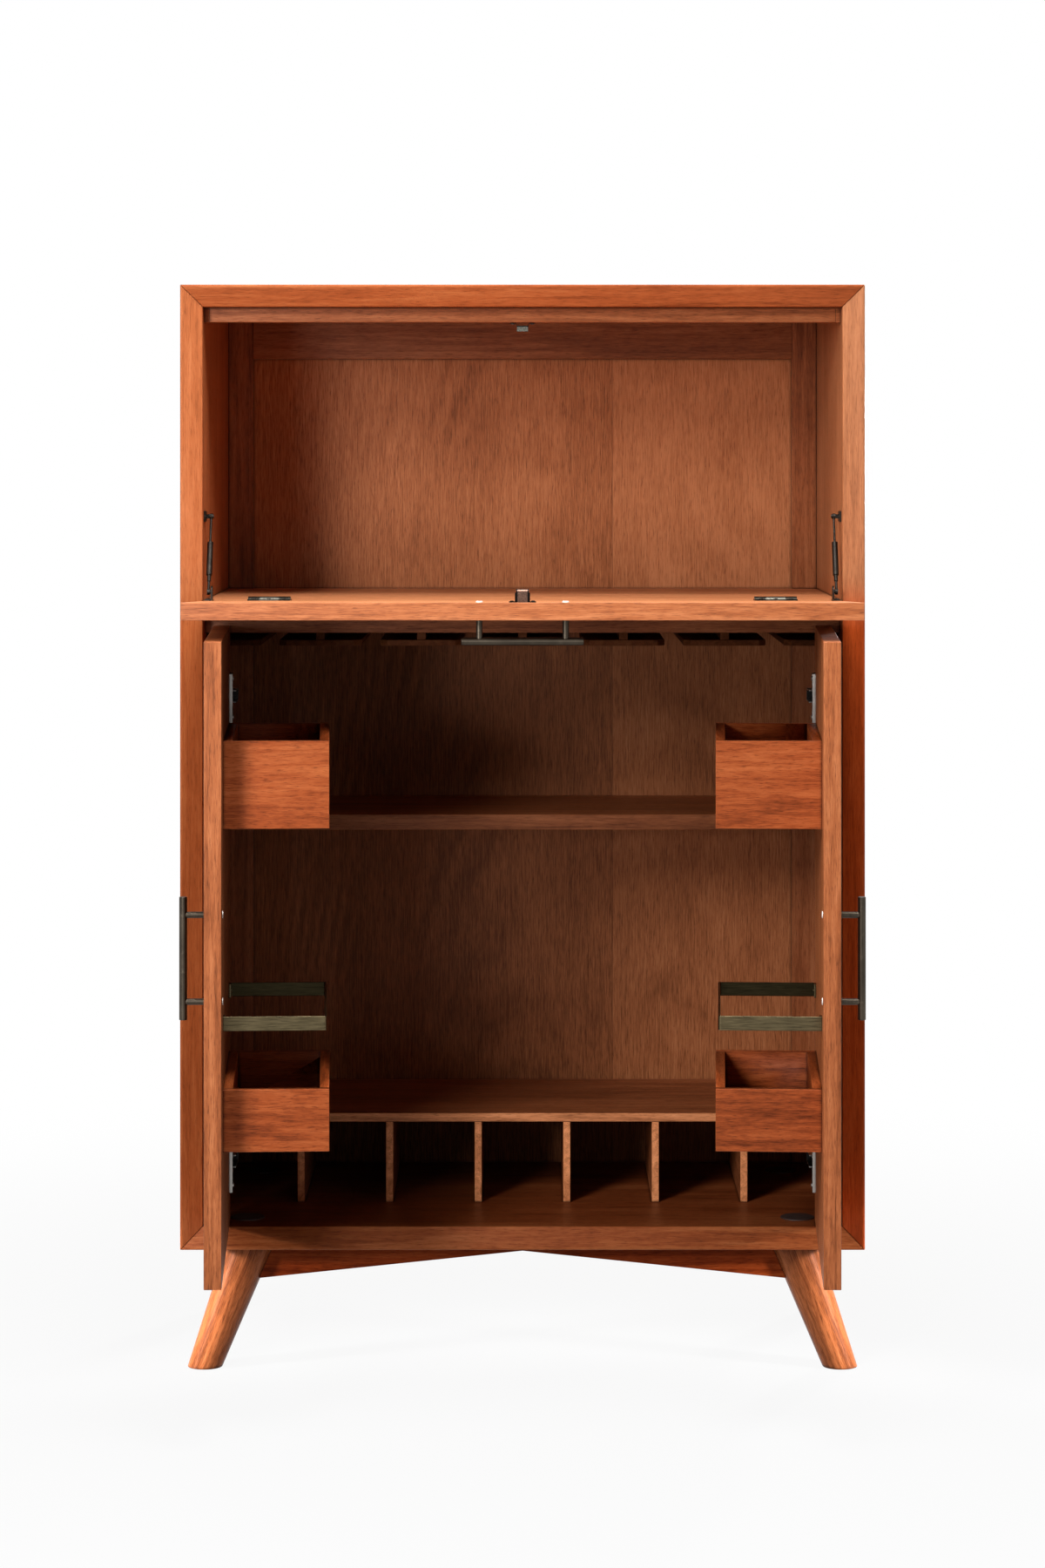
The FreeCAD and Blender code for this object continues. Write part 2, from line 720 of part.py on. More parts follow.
def stay_bracket():
    """Plate on the case side with the headed pin that the stay turns on."""
    wall = -inner_half
    plate_ys = (stay_pivot.y - stay_plate_width / 2, stay_pivot.y + stay_plate_width / 2)
    plate_zs = (stay_pivot.z - stay_plate_height / 2, stay_pivot.z + stay_plate_height / 2)
    plate = block((wall, wall + stay_plate_thickness), plate_ys, plate_zs)
    eye_near = stay_x - stay_eye_thickness / 2 - knuckle_gap
    eye_far = stay_x + stay_eye_thickness / 2 + knuckle_gap
    boss_ys = (stay_pivot.y - stay_head_radius, stay_pivot.y + stay_head_radius)
    boss_zs = (stay_pivot.z - stay_head_radius, stay_pivot.z + stay_head_radius)
    boss = block((wall, eye_near), boss_ys, boss_zs)
    pin = bar(V(wall, stay_pivot.y, stay_pivot.z), V(eye_far, stay_pivot.y, stay_pivot.z), stay_pin_radius)
    head_end = V(eye_far + stay_head_thickness, stay_pivot.y, stay_pivot.z)
    head = bar(V(eye_far, stay_pivot.y, stay_pivot.z), head_end, stay_head_radius)
    return fuse([plate, boss, pin, head])


def stay_foot():
    """Bracket on the drop front, level: a plate under the stay and an ear whose rivet faces its eye."""
    y = flap_axis_y - stay_foot_reach
    z = floor_top + stay_foot_rise
    rivet_x = stay_x + stay_eye_thickness / 2 + knuckle_gap
    ear_x = rivet_x + stay_head_thickness
    ear_xs = (ear_x, ear_x + stay_plate_thickness)
    plate_xs = (stay_bracket_edge - flap_half, ear_xs[1])
    plate_ys = (y - stay_bracket_length / 2, y + stay_bracket_length / 2)
    plate = block(plate_xs, plate_ys, (floor_top, floor_top + stay_plate_thickness))
    ear_ys = (y - stay_ear_length / 2, y + stay_ear_length / 2)
    ear = block(ear_xs, ear_ys, (floor_top, z))
    crown = bar(V(ear_xs[0], y, z), V(ear_xs[1], y, z), stay_ear_length / 2)
    rivet = bar(V(rivet_x, y, z), V(ear_x, y, z), stay_head_radius)
    return fuse([plate, ear, crown, rivet])


def make_stays():
    """Both stays of the drop front, with their brackets on the case."""
    rod = stay_rod()
    sleeve = stay_sleeve()
    bracket = stay_bracket()
    return {
        "left_stay_rod": rod,
        "left_stay_sleeve": sleeve,
        "right_stay_rod": mirrored(rod),
        "right_stay_sleeve": mirrored(sleeve),
        "stay_brackets": group([bracket, mirrored(bracket)]),
    }


def build():
    """All nodes, placed with the rest pose's box centred over the origin."""
    nodes = {}
    for make in (make_base, make_case, make_back_frame, make_interior, make_stem_rack, make_flap, make_stays):
        nodes.update(make())
    for name, shape in make_left_door().items():
        nodes["left_%s" % name] = shape
        nodes["right_%s" % name] = mirrored(shape)
    bounds = group(list(nodes.values())).optimalBoundingBox()
    shift = V(-bounds.Center.x, -bounds.Center.y, 0)
    for name, shape in nodes.items():
        placed = shape.copy()
        placed.translate(shift)
        nodes[name] = placed
    return nodes, shift


nodes, shift = build()
os.makedirs("parts", exist_ok=True)
for node, shape in nodes.items():
    shape.exportStep("parts/%s.step" % node)
print("nodes:", len(nodes))
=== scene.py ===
import bmesh
import bpy
import json
import math
from mathutils import Matrix, Vector


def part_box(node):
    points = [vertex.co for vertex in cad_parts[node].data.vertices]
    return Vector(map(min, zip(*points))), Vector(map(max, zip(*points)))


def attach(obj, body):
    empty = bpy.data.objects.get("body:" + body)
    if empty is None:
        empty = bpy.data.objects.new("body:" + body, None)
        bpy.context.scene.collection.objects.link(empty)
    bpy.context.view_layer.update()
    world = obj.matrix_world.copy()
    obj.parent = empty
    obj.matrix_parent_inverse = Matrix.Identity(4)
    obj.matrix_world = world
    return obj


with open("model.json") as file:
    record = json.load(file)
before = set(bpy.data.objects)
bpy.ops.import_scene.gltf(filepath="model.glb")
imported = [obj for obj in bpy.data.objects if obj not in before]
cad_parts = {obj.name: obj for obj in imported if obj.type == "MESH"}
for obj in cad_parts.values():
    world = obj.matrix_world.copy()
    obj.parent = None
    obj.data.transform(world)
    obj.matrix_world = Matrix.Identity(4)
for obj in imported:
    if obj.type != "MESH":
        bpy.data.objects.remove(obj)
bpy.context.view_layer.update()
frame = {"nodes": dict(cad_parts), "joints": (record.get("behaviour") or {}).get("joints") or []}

# Bar armoire in satin reddish wood. Metres, +X to the viewer's right, +Y to the back, +Z up.
MM = 0.001
TOP_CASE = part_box("case_top")
CASE_FRONT = TOP_CASE[0].y
SIDES = {"left": -1, "right": 1}

# Photograph: a level camera straight in front of the case, framed low by its shift
CAMERA_DISTANCE = 5.0
CAMERA_HEIGHT = 1.247
CAMERA_LENS = 129.07
CAMERA_SENSOR = 36.0
CAMERA_SHIFT = -0.325

# Doors: from the hinge edge, the outer face and the floor
HINGE_SETBACK = 21.5 * MM
HINGE_DEPTH = 11 * MM
DOOR_THICKNESS = 22 * MM
DOOR_WIDTH = 423.5 * MM
PULL_CENTRES = 108 * MM
PULL_INSET = 38 * MM
CAP_RADIUS = 4.5 * MM
DOOR_CAP_HEIGHT = 1.0 * MM
CUP_FLANGE_MIDDLE = 22.5 * MM
CUP_FLANGE_THICKNESS = 4 * MM
CUP_FLANGE_HALF = 33 * MM
CUP_SCREW_RISE = 26 * MM
CUP_SCREW_RADIUS = 3.2 * MM
GUARD_TAB_MIDDLES = (70.5 * MM, 350.5 * MM)
GUARD_THICKNESS = 3 * MM
GUARD_REAR = 20 * MM
GUARD_SCREW_RADIUS = 2.8 * MM

# Drop front: from its axis towards the free edge
FLAP_TILT = math.radians(2)
FLAP_REACH = 390 * MM
FLAP_CAP_HEIGHT = 2.0 * MM
LEAF_MIDDLE = 12.2 * MM
LEAF_THICKNESS = 2 * MM
LEAF_SCREW_PITCH = 20 * MM
LEAF_SCREW_RADIUS = 2.6 * MM
FLAP_HINGE_OFFSET = 340 * MM
BARREL_HALF = 13 * MM
CATCH_INSET = 27 * MM
CATCH_PLATE_THICKNESS = 1.5 * MM
CATCH_SCREW_OFFSET = 13.2 * MM
CATCH_SCREW_RADIUS = 2.4 * MM
STAY_FOOT_REACH = 35 * MM
STAY_FOOT_SCREW_OFFSET = 12.5 * MM
STAY_PLATE_THICKNESS = 2 * MM
STAY_FOOT_SCREW_INSET = 4 * MM
STAY_FOOT_SCREW_RADIUS = 2.4 * MM
STAY_BRACKET_SCREW_OFFSET = 10 * MM
STAY_BRACKET_SCREW_RADIUS = 2.2 * MM

# Case fittings
ARM_PLATE_SCREW_RISE = 14.5 * MM
ARM_SCREW_OFFSET = 11 * MM
ARM_SCREW_RADIUS = 3.0 * MM
ARM_PLATE_SETBACK = 26 * MM
ARM_PLATE_THICKNESS = 2 * MM
ARM_HALF_WIDTH = 2.5 * MM
ARM_PLATE_HALF = 22 * MM
ARM_EDGE_RISE = 6.9 * MM
TONGUE_ROLLER_HALF = 6.2 * MM
CLIP_BOX_HEIGHT = 6.5 * MM
BOLT_CAP_OFFSET = 372 * MM
BOLT_CAP_RADIUS = 23 * MM
BOLT_CAP_HEIGHT = 1.4 * MM
CASE_BOARD = 29 * MM
LEG_INSET = 71 * MM
LEG_LEAN_SHARE = 0.07
BACK_SCREW_INSET = 5 * MM
BACK_SCREW_PITCH = 190 * MM
BACK_SCREW_SINK = 0.7 * MM
BACK_SCREW_RADIUS = 3.4 * MM
RAIL_END_GAP = 7 * MM

# Screw heads and caps
HEAD_HEIGHT_SHARE = 0.42
HEAD_EASE_SHARE = 0.6
HEAD_SEGMENTS = 20
CROSS_LENGTH_SHARE = 1.15
CROSS_WIDTH_SHARE = 0.26
CROSS_RISE = 0.08 * MM
CROSS_TURN = 0.6
CAP_EASE_SHARE = 0.45
CAP_SEGMENTS = 40


class Reading:
    """A shader socket that takes part in sums and products."""

    def __init__(self, finish, socket):
        self.finish = finish
        self.socket = socket

    def _with(self, operation, first, second):
        return self.finish.node("ShaderNodeMath", {"operation": operation}, {0: first, 1: second})

    def __add__(self, other):
        return self._with("ADD", self, other)

    def __radd__(self, other):
        return self._with("ADD", other, self)

    def __sub__(self, other):
        return self._with("SUBTRACT", self, other)

    def __rsub__(self, other):
        return self._with("SUBTRACT", other, self)

    def __mul__(self, other):
        return self._with("MULTIPLY", self, other)

    def __rmul__(self, other):
        return self._with("MULTIPLY", other, self)

    def above(self, limit):
        return self._with("GREATER_THAN", self, limit)

    def most(self, other):
        return self._with("MAXIMUM", self, other)

    def size(self):
        return self.finish.node("ShaderNodeMath", {"operation": "ABSOLUTE"}, {0: self})

    def wave(self):
        return self.finish.node("ShaderNodeMath", {"operation": "SINE"}, {0: self})

    def ease(self, low, high):
        settings = {"interpolation_type": "SMOOTHSTEP"}
        sockets = {"Value": self, "From Min": low, "From Max": high}
        return self.finish.node("ShaderNodeMapRange", settings, sockets)


class Finish:
    """A material or world, made node by node round its own shader."""

    def __init__(self, owner):
        self.owner = owner
        owner.use_nodes = True
        self.tree = owner.node_tree
        self.shader = next(n for n in self.tree.nodes if n.type in ("BSDF_PRINCIPLED", "BACKGROUND"))
        self.output = next(n for n in self.tree.nodes if n.type in ("OUTPUT_MATERIAL", "OUTPUT_WORLD"))

    def node(self, kind, settings=None, sockets=None, out=0):
        made = self.tree.nodes.new(kind)
        for key, value in (settings or {}).items():
            if key == "stops":
                while len(made.color_ramp.elements) < len(value):
                    made.color_ramp.elements.new(1.0)
                for element, (place, colour) in zip(made.color_ramp.elements, value):
                    element.position = place
                    element.color = (*colour, 1.0)
            else:
                setattr(made, key, value)
        self.fill(made, sockets or {})
        return Reading(self, made.outputs[out])

    def fill(self, made, sockets):
        for key, value in sockets.items():
            if isinstance(value, Reading):
                self.tree.links.new(value.socket, made.inputs[key])
            else:
                made.inputs[key].default_value = value

    def dress(self, sockets):
        self.fill(self.shader, sockets)
        return self.owner

    def spot(self, kind="Object"):
        return self.node("ShaderNodeTexCoord", out=kind)

    def part(self, vector, axis):
        return self.node("ShaderNodeSeparateXYZ", {}, {0: vector}, out=axis)

    def place(self, spot, scale=(1, 1, 1), offset=(0, 0, 0)):
        return self.node("ShaderNodeMapping", {}, {"Vector": spot, "Scale": scale, "Location": offset})

    def noise(self, spot, scale, detail=2.0, rough=0.5, warp=0.0):
        sockets = {"Vector": spot, "Scale": scale, "Detail": detail, "Roughness": rough, "Distortion": warp}
        return self.node("ShaderNodeTexNoise", {}, sockets)

    def ramp(self, reading, stops):
        return self.node("ShaderNodeValToRGB", {"stops": stops}, {"Fac": reading})

    def tint(self, share, first, second):
        return self.node("ShaderNodeMix", {"data_type": "RGBA"}, {0: share, 6: first, 7: second}, out=2)

    def bump(self, height, strength, distance):
        sockets = {"Height": height, "Strength": strength, "Distance": distance}
        return self.node("ShaderNodeBump", {}, sockets)


def material(name):
    return Finish(bpy.data.materials.new(name))


# Wood tones from dark late wood to pale early wood, in linear colour
TONES = {
    "rim": ((0.165, 0.032, 0.007), (0.375, 0.088, 0.023), (0.520, 0.160, 0.050)),
    "panel": ((0.150, 0.038, 0.011), (0.330, 0.095, 0.031), (0.470, 0.165, 0.064)),
    "deep": ((0.150, 0.018, 0.003), (0.340, 0.052, 0.009), (0.470, 0.098, 0.022)),
    "bin": ((0.118, 0.021, 0.004), (0.295, 0.060, 0.014), (0.425, 0.110, 0.031)),
    "inner": ((0.110, 0.028, 0.008), (0.245, 0.072, 0.024), (0.350, 0.122, 0.047)),
    "leg": ((0.140, 0.034, 0.009), (0.340, 0.098, 0.031), (0.500, 0.180, 0.066)),
    "pale": ((0.190, 0.062, 0.022), (0.390, 0.145, 0.058), (0.550, 0.235, 0.105)),
}
# Grain: how far each pattern is drawn out along a board, and its scale for each metre
STREAK_SHARE = 0.05
MOTTLE_SHARE = 0.40
DASH_SHARE = 0.07
FIBRE_SHARE = 0.03
TONE_SCALE = 13.0
STREAK_SCALE = 110.0
MOTTLE_SCALE = 80.0
FIBRE_SCALE = 900.0
DASH_SCALE = 1000.0
PORE_TONE_SHARE = 0.30
RELIEF_DEPTH = 0.4 * MM
# Arris and joint reaches and strengths: painted highlight on arrises (partly rubbed wear) and painted shade
# in joints (partly glaze)
ARRIS_REACH = 1.8 * MM
JOINT_REACH = 6 * MM
PORE_STRENGTH = 0.40
ARRIS_STRENGTH = 0.45
JOINT_STRENGTH = 0.75
RUBBED_AND_LIT_SHARE = 1.2
FACING_LEAST = 0.7
FLAP_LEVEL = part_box("upper_floor")[1].z
LEVEL_STEP = 40 * MM

# Veneer of the back: two leaves, each with its own crown of arches
VENEER_SEAM = 131 * MM
SEAM_REACH = 1.2 * MM
ARCH_PITCH = 120 * MM
LEAF_CROWNS = (20 * MM, 215 * MM)
LEAF_HALF_WIDTHS = (70 * MM, 84 * MM)
DRIFT_SCALE = 3.0
STIR_SCALE = 22.0
PATCH_SCALE = 7.0
VENEER_CLOUD_SCALE = 11.0
VENEER_DASH_SCALE = 900.0
VENEER_FIBRE_SCALE = 800.0
VENEER_STOPS = (
    (0.34, (0.130, 0.038, 0.012)),
    (0.50, (0.305, 0.100, 0.035)),
    (0.66, (0.455, 0.172, 0.070)),
)
# Dark stain of the pores and the seam, also the painted shade in the joints
VENEER_STAIN_AND_SHADE = (0.06, 0.017, 0.006, 1.0)


def stretched(axis, share):
    """Scale that draws a pattern out along one axis."""
    return tuple(share if index == axis else 1.0 for index in range(3))


def grain(finish, spot, axis, offset):
    """Tone, dark pore dashes and fibres of a board whose grain runs along one axis."""
    long, blotched, short, fine = [finish.place(spot, stretched(axis, share), offset)
                                   for share in (STREAK_SHARE, MOTTLE_SHARE, DASH_SHARE, FIBRE_SHARE)]
    tone = finish.noise(long, TONE_SCALE, 3.0, 0.5, 0.5)
    streak = finish.noise(long, STREAK_SCALE, 4.0, 0.6, 0.8)
    mottle = finish.noise(blotched, MOTTLE_SCALE, 3.0, 0.55, 0.3)
    fibre = finish.noise(fine, FIBRE_SCALE, 2.0, 0.6)
    dash = finish.noise(short, DASH_SCALE, 3.0, 0.62, 0.3)
    pore = dash.ease(0.54, 0.68)
    mixed = tone * 0.40 + streak * 0.50 + mottle * 0.14 + fibre * 0.18 + (0.5 - dash) * 0.26 - 0.11
    return mixed, pore, fibre


def edges(finish):
    """Arrises paler as a painted highlight, partly rubbed wear, and joints darker as painted shade, partly
    dark glaze.
    """
    rounded = finish.node("ShaderNodeBevel", {"samples": 6}, {"Radius": ARRIS_REACH})
    flat = finish.node("ShaderNodeNewGeometry", out="Normal")
    product = {"operation": "DOT_PRODUCT"}
    match = finish.node("ShaderNodeVectorMath", product, {0: rounded, 1: flat}, out=1)
    reach = {"Distance": JOINT_REACH}
    open_share = finish.node("ShaderNodeAmbientOcclusion", {"samples": 8}, reach, out="AO")
    # Occluded joints: painted shade, partly dark glaze
    joints = (1 - open_share).ease(0.12, 0.50)
    # Open arrises: painted highlight, partly rubbed wear
    arrises = (1 - match).ease(0.02, 0.25) * (1 - joints)
    return arrises, joints


def facing(finish, axis, way):
    """One on the faces that look along an axis, in one of its two ways."""
    return (finish.part(finish.spot("Normal"), axis) * way).above(FACING_LEAST)


def lacquer(finish, pattern, tone, shade=1.0, gloss=0.42, sheen=0.12, figure=1.0, others=()):
    """Satin lacquer over a grain, with other tones and shades where their masks are one."""
    mixed, pore, fibre = pattern
    spread = 0.15 / figure
    body = None
    # The other tones paint light and shade onto some faces and heights of a board
    for body_tone, body_shade, mask in ((tone, shade, None), *others):
        dark, medium, pale = [tuple(body_shade * channel for channel in colour)
                              for colour in TONES[body_tone]]
        layer = finish.ramp(mixed, [(0.5 - spread, dark), (0.5, medium), (0.5 + spread, pale)])
        body = finish.tint(mask, body, layer) if body else layer
    # Dark stain of the pores, also the painted shade in the joints
    stain_and_shade = (*(shade * PORE_TONE_SHARE * channel for channel in TONES[tone][0]), 1.0)
    colour = finish.tint(pore * (PORE_STRENGTH * figure), body, stain_and_shade)
    arrises, joints = edges(finish)
    # Pale colour of the arrises: painted highlight, partly rubbed wear
    rubbed = (*(min(1.0, RUBBED_AND_LIT_SHARE * shade * channel) for channel in TONES[tone][2]), 1.0)
    colour = finish.tint(arrises * ARRIS_STRENGTH, colour, rubbed)
    # Joints darkened: painted shade, partly glaze
    colour = finish.tint(joints * JOINT_STRENGTH, colour, stain_and_shade)
    relief = finish.bump(fibre * 0.2 - pore, 0.22, RELIEF_DEPTH)
    rough = fibre * 0.10 + pore * 0.14 + (gloss - 0.07)
    return finish.dress({"Base Color": colour, "Roughness": rough, "Normal": relief,
                         "Specular IOR Level": sheen})


def board_wood(name, tone, axis, offset, shade, figure, sheen):
    """Board with its grain along one axis, and other tones on some faces and heights where it has them:
    painted light and shade, on the shelf fronts partly solid edge bands.
    """
    finish = material(name)
    node = name.removesuffix("_wood")
    others = []
    # Faces set lighter or darker: painted light and shade
    if node in PAINTED_FACE_SHADES:
        face_tone, face_shade, face_axis, way = PAINTED_FACE_SHADES[node]
        others.append((face_tone, face_shade, facing(finish, face_axis, way)))
    # Rims deeper below the drop front and paler above: painted shade and painted light
    if node in SIDE_SHADE_AND_SHEEN:
        low, high, outward = SIDE_SHADE_AND_SHEEN[node]
        within = 1 - facing(finish, 0, outward)
        ahead = within - facing(finish, 0, -outward)
        level = finish.part(finish.spot(), 2).ease(FLAP_LEVEL - LEVEL_STEP, FLAP_LEVEL + LEVEL_STEP)
        others += [(*low, ahead), (*high, within * level)]
    pattern = grain(finish, finish.spot(), axis, offset)
    return lacquer(finish, pattern, tone, shade, figure=figure, sheen=sheen, others=others)


def leg_wood(name, tone, slope, offset):
    """Legs: the grain follows each leg's outward lean."""
    finish = material(name)
    spot = finish.spot()
    x, y, z = [finish.part(spot, axis) for axis in range(3)]
    upright = finish.node("ShaderNodeCombineXYZ", {}, {0: x.size() + z * slope, 1: y, 2: z})
    return lacquer(finish, grain(finish, upright, 2, offset), tone, 1.0, 0.30, 0.09)


def bin_wood(name, tone, offset):
    """Box on a door: each wall's grain runs level along that wall."""
    finish = material(name)
    spot = finish.spot()
    across, along = [grain(finish, spot, axis, offset) for axis in (0, 1)]
    ahead = finish.part(finish.spot("Normal"), 1).size().above(FACING_LEAST)
    pattern = [first * ahead + second * (1 - ahead) for first, second in zip(across, along)]
    return lacquer(finish, pattern, tone)


def back_veneer(name):
    """Rotary cut veneer: faint nested arches in two leaves that meet at an upright seam, paler above the
    drop front as painted light, with painted shade in its joints.
    """
    finish = material(name)
    spot = finish.spot()
    across, up = finish.part(spot, 0), finish.part(spot, 2)
    leaf = across.above(VENEER_SEAM)
    # Front of the back paler above the drop front: painted light, leaving the lower back in painted shade
    high = up.ease(FLAP_LEVEL - LEVEL_STEP, FLAP_LEVEL) * facing(finish, 1, -1)
    drift = finish.noise(finish.place(spot, (1.0, 1.0, 0.5)), DRIFT_SCALE, 2.0, 0.45) - 0.5
    stir = finish.noise(finish.place(spot, (1.0, 1.0, 0.35)), STIR_SCALE, 3.0, 0.55) - 0.5
    arches = []
    for crown, half_width in zip(LEAF_CROWNS, LEAF_HALF_WIDTHS):
        side = (across - crown + drift * 0.12) * (1 / half_width)
        arches.append(side * side * 0.5 + up * (1 / ARCH_PITCH) + drift * 4.0 + stir)
    arch = arches[0] * (1 - leaf) + arches[1] * leaf
    band = (arch * (2 * math.pi)).wave() * 0.5 + 0.5
    lines = (arch * (7.4 * math.pi)).wave() * 0.5 + 0.5
    patch = finish.noise(finish.place(spot, (1.0, 1.0, 0.6)), PATCH_SCALE, 3.0, 0.5).ease(0.42, 0.66)
    cloud = finish.noise(finish.place(spot, (1.0, 1.0, 0.35)), VENEER_CLOUD_SCALE, 3.0, 0.5)
    dash = finish.noise(finish.place(spot, stretched(2, DASH_SHARE)), VENEER_DASH_SCALE, 3.0, 0.62, 0.4)
    fibre = finish.noise(finish.place(spot, stretched(2, FIBRE_SHARE)), VENEER_FIBRE_SCALE, 2.0, 0.6)
    pore = dash.ease(0.54, 0.70)
    figure = (0.5 - band) * 0.08 + (lines - 0.5) * 0.015
    fine = cloud * 0.20 + fibre * 0.34 + (0.5 - dash) * 0.34
    mixed = fine + figure * patch + leaf * 0.08 + high * 0.09 + 0.155
    body = finish.ramp(mixed, VENEER_STOPS)
    seam = 1 - (across - VENEER_SEAM).size().ease(0.0, SEAM_REACH)
    shadow = edges(finish)[1] * 0.6
    colour = finish.tint((pore * 0.36 + seam * 0.5).most(shadow), body, VENEER_STAIN_AND_SHADE)
    relief = finish.bump(fibre * 0.2 - pore, 0.2, RELIEF_DEPTH)
    return finish.dress({"Base Color": colour, "Roughness": fibre * 0.10 + 0.42, "Normal": relief,
                         "Specular IOR Level": 0.10})


# Plated metals: dark tone, light tone, roughness, brushing axis and wear
METALS = {
    "dark_bronze": ((0.030, 0.024, 0.018), (0.085, 0.068, 0.050), 0.26, 2, 0.35),
    "dark_bronze_level": ((0.030, 0.024, 0.018), (0.085, 0.068, 0.050), 0.26, 0, 0.35),
    "blackened_bronze": ((0.012, 0.010, 0.009), (0.040, 0.033, 0.027), 0.30, None, 0.5),
    "antique_brass": ((0.048, 0.035, 0.017), (0.136, 0.104, 0.058), 0.24, 0, 0.4),
    "nickel": ((0.300, 0.285, 0.260), (0.520, 0.500, 0.465), 0.26, 2, 0.2),
    "dark_steel": ((0.050, 0.047, 0.043), (0.130, 0.122, 0.112), 0.30, 1, 0.3),
}
# Metals in two tones: the tone near given places, the tone beyond them and the roughness
TONGUE_METAL = ((0.150, 0.085, 0.062), (0.012, 0.010, 0.009), 0.26)
# Catch clip: dark grey box and near-black ears, painted shade under the top rail
CLIP_METAL = ((0.120, 0.118, 0.100), (0.016, 0.014, 0.012), 0.34)
# Hinge leaves: paler bronze at the barrels, darker beyond
LEAF_METAL = ((0.100, 0.096, 0.078), (0.026, 0.023, 0.018), 0.30)
# Hinge arms: near black round each arm's middle, painted shade in its channel; bright nickel beyond
ARM_METAL = ((0.035, 0.032, 0.030), (0.42, 0.40, 0.37), 0.24)
# Bottle guards: rear bar near black, painted shade; front bar brass
GUARD_METAL = ((0.034, 0.027, 0.013), (0.135, 0.105, 0.056), 0.22)
HAIR_SHARE = 0.02
GUARD_HAIR_SHARE = 0.04
HAIR_DEPTH = 0.2 * MM
HAIR_SCALE = 900.0
TWO_TONE_HAIR_SCALE = 600.0
CLOUD_SCALE = 34.0
WEAR_SCALE = 90.0

# Moulded plastics: dark tone, light tone and roughness
PLASTICS = {
    # Near-black cross on each screw head: painted shade that stands in for its recess
    "screw_recess": ((0.006, 0.005, 0.005), (0.014, 0.012, 0.011), 0.5),
    "white_cap": ((0.72, 0.70, 0.66), (0.82, 0.80, 0.77), 0.35),
    "dark_cap": ((0.020, 0.010, 0.008), (0.035, 0.018, 0.013), 0.5),
}
SKIN_SCALE = 1400.0
MOULD_SCALE = 120.0


def plated(name, low, high, rough, axis, worn):
    """Plated metal: a cloudy tone, hairline brushing along one axis and rubbed patches."""
    finish = material(name)
    spot = finish.spot()
    cloud = finish.noise(spot, CLOUD_SCALE, 4.0, 0.6)
    brushed = (1, 1, 1) if axis is None else stretched(axis, HAIR_SHARE)
    hair = finish.noise(finish.place(spot, brushed), HAIR_SCALE, 3.0, 0.6)
    rubbed = finish.noise(spot, WEAR_SCALE, 5.0, 0.65).ease(0.56, 0.72)
    body = finish.ramp(cloud * 0.5 + hair * 0.5, [(0.32, low), (0.70, high)])
    bright = (*(min(1.0, channel * 2.1) for channel in high), 1.0)
    colour = finish.tint(rubbed * worn, body, bright)
    return finish.dress({"Base Color": colour, "Roughness": hair * 0.16 + cloud * 0.10 + rough,
                         "Metallic": 1.0, "Normal": finish.bump(hair, 0.12, HAIR_DEPTH)})


def two_tone(name, axis, centres, reach, inner, outer, rough, brushed=(1, 1, 1)):
    """Metal in one tone near given places along an axis, and in another beyond them."""
    finish = material(name)
    spot = finish.spot()
    along = finish.part(spot, axis)
    beyond = (along - centres[0]).size().above(reach)
    for centre in centres[1:]:
        beyond = beyond * (along - centre).size().above(reach)
    hair = finish.noise(finish.place(spot, brushed), TWO_TONE_HAIR_SCALE, 3.0, 0.6)
    tones = [finish.ramp(hair, [(0.35, tuple(0.5 * channel for channel in tone)), (0.65, tone)])
             for tone in (inner, outer)]
    return finish.dress({"Base Color": finish.tint(beyond, *tones), "Roughness": hair * 0.16 + rough,
                         "Metallic": 1.0, "Normal": finish.bump(hair, 0.12, HAIR_DEPTH)})


def moulded(name, low, high, rough):
    """Moulded plastic with a faint orange-peel skin."""
    finish = material(name)
    spot = finish.spot()
    skin = finish.noise(spot, SKIN_SCALE, 2.0, 0.5)
    colour = finish.ramp(finish.noise(spot, MOULD_SCALE, 3.0, 0.5), [(0.35, low), (0.65, high)])
    return finish.dress({"Base Color": colour, "Roughness": skin * 0.2 + rough,
                         "Normal": finish.bump(skin, 0.15, HAIR_DEPTH)})


WELD_REACH = 0.01 * MM
FLAT_ANGLE = math.radians(0.3)
ARRIS_ANGLE = math.radians(35)


def dress_node(name, finish):
    """One material over the whole of a CAD node."""
    mesh = frame["nodes"][name].data
    mesh.materials.clear()
    mesh.materials.append(finish)


def ease_edges(name, width, segments=2):
    """Softened arrises on a CAD node, and shading that follows its flat faces."""
    node = frame["nodes"][name]
    node.modifiers.new("weld", "WELD").merge_threshold = WELD_REACH
    flat = node.modifiers.new("flat", "DECIMATE")
    flat.decimate_type = "DISSOLVE"
    flat.angle_limit = FLAT_ANGLE
    arris = node.modifiers.new("arris", "BEVEL")
    arris.limit_method = "ANGLE"
    arris.angle_limit = ARRIS_ANGLE
    arris.width = width
    arris.segments = segments
    node.modifiers.new("shading", "WEIGHTED_NORMAL").keep_sharp = False


def piece(name, make, body, slot, *finishes):
    """New piece from a bmesh, riding on a body."""
    mesh = bpy.data.meshes.new(name)
    shape = bmesh.new()
    make(shape)
    bmesh.ops.recalc_face_normals(shape, faces=shape.faces)
    shape.to_mesh(mesh)
    shape.free()
    made = bpy.data.objects.new(name, mesh)
    bpy.context.scene.collection.objects.link(made)
    for finish in finishes:
        mesh.materials.append(finish)
    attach(made, body)
    return made


def standing(centre, normal):
    """Place that puts +Z along a surface's normal."""
    return Matrix.Translation(centre) @ Vector(normal).to_track_quat("Z", "Y").to_matrix().to_4x4()


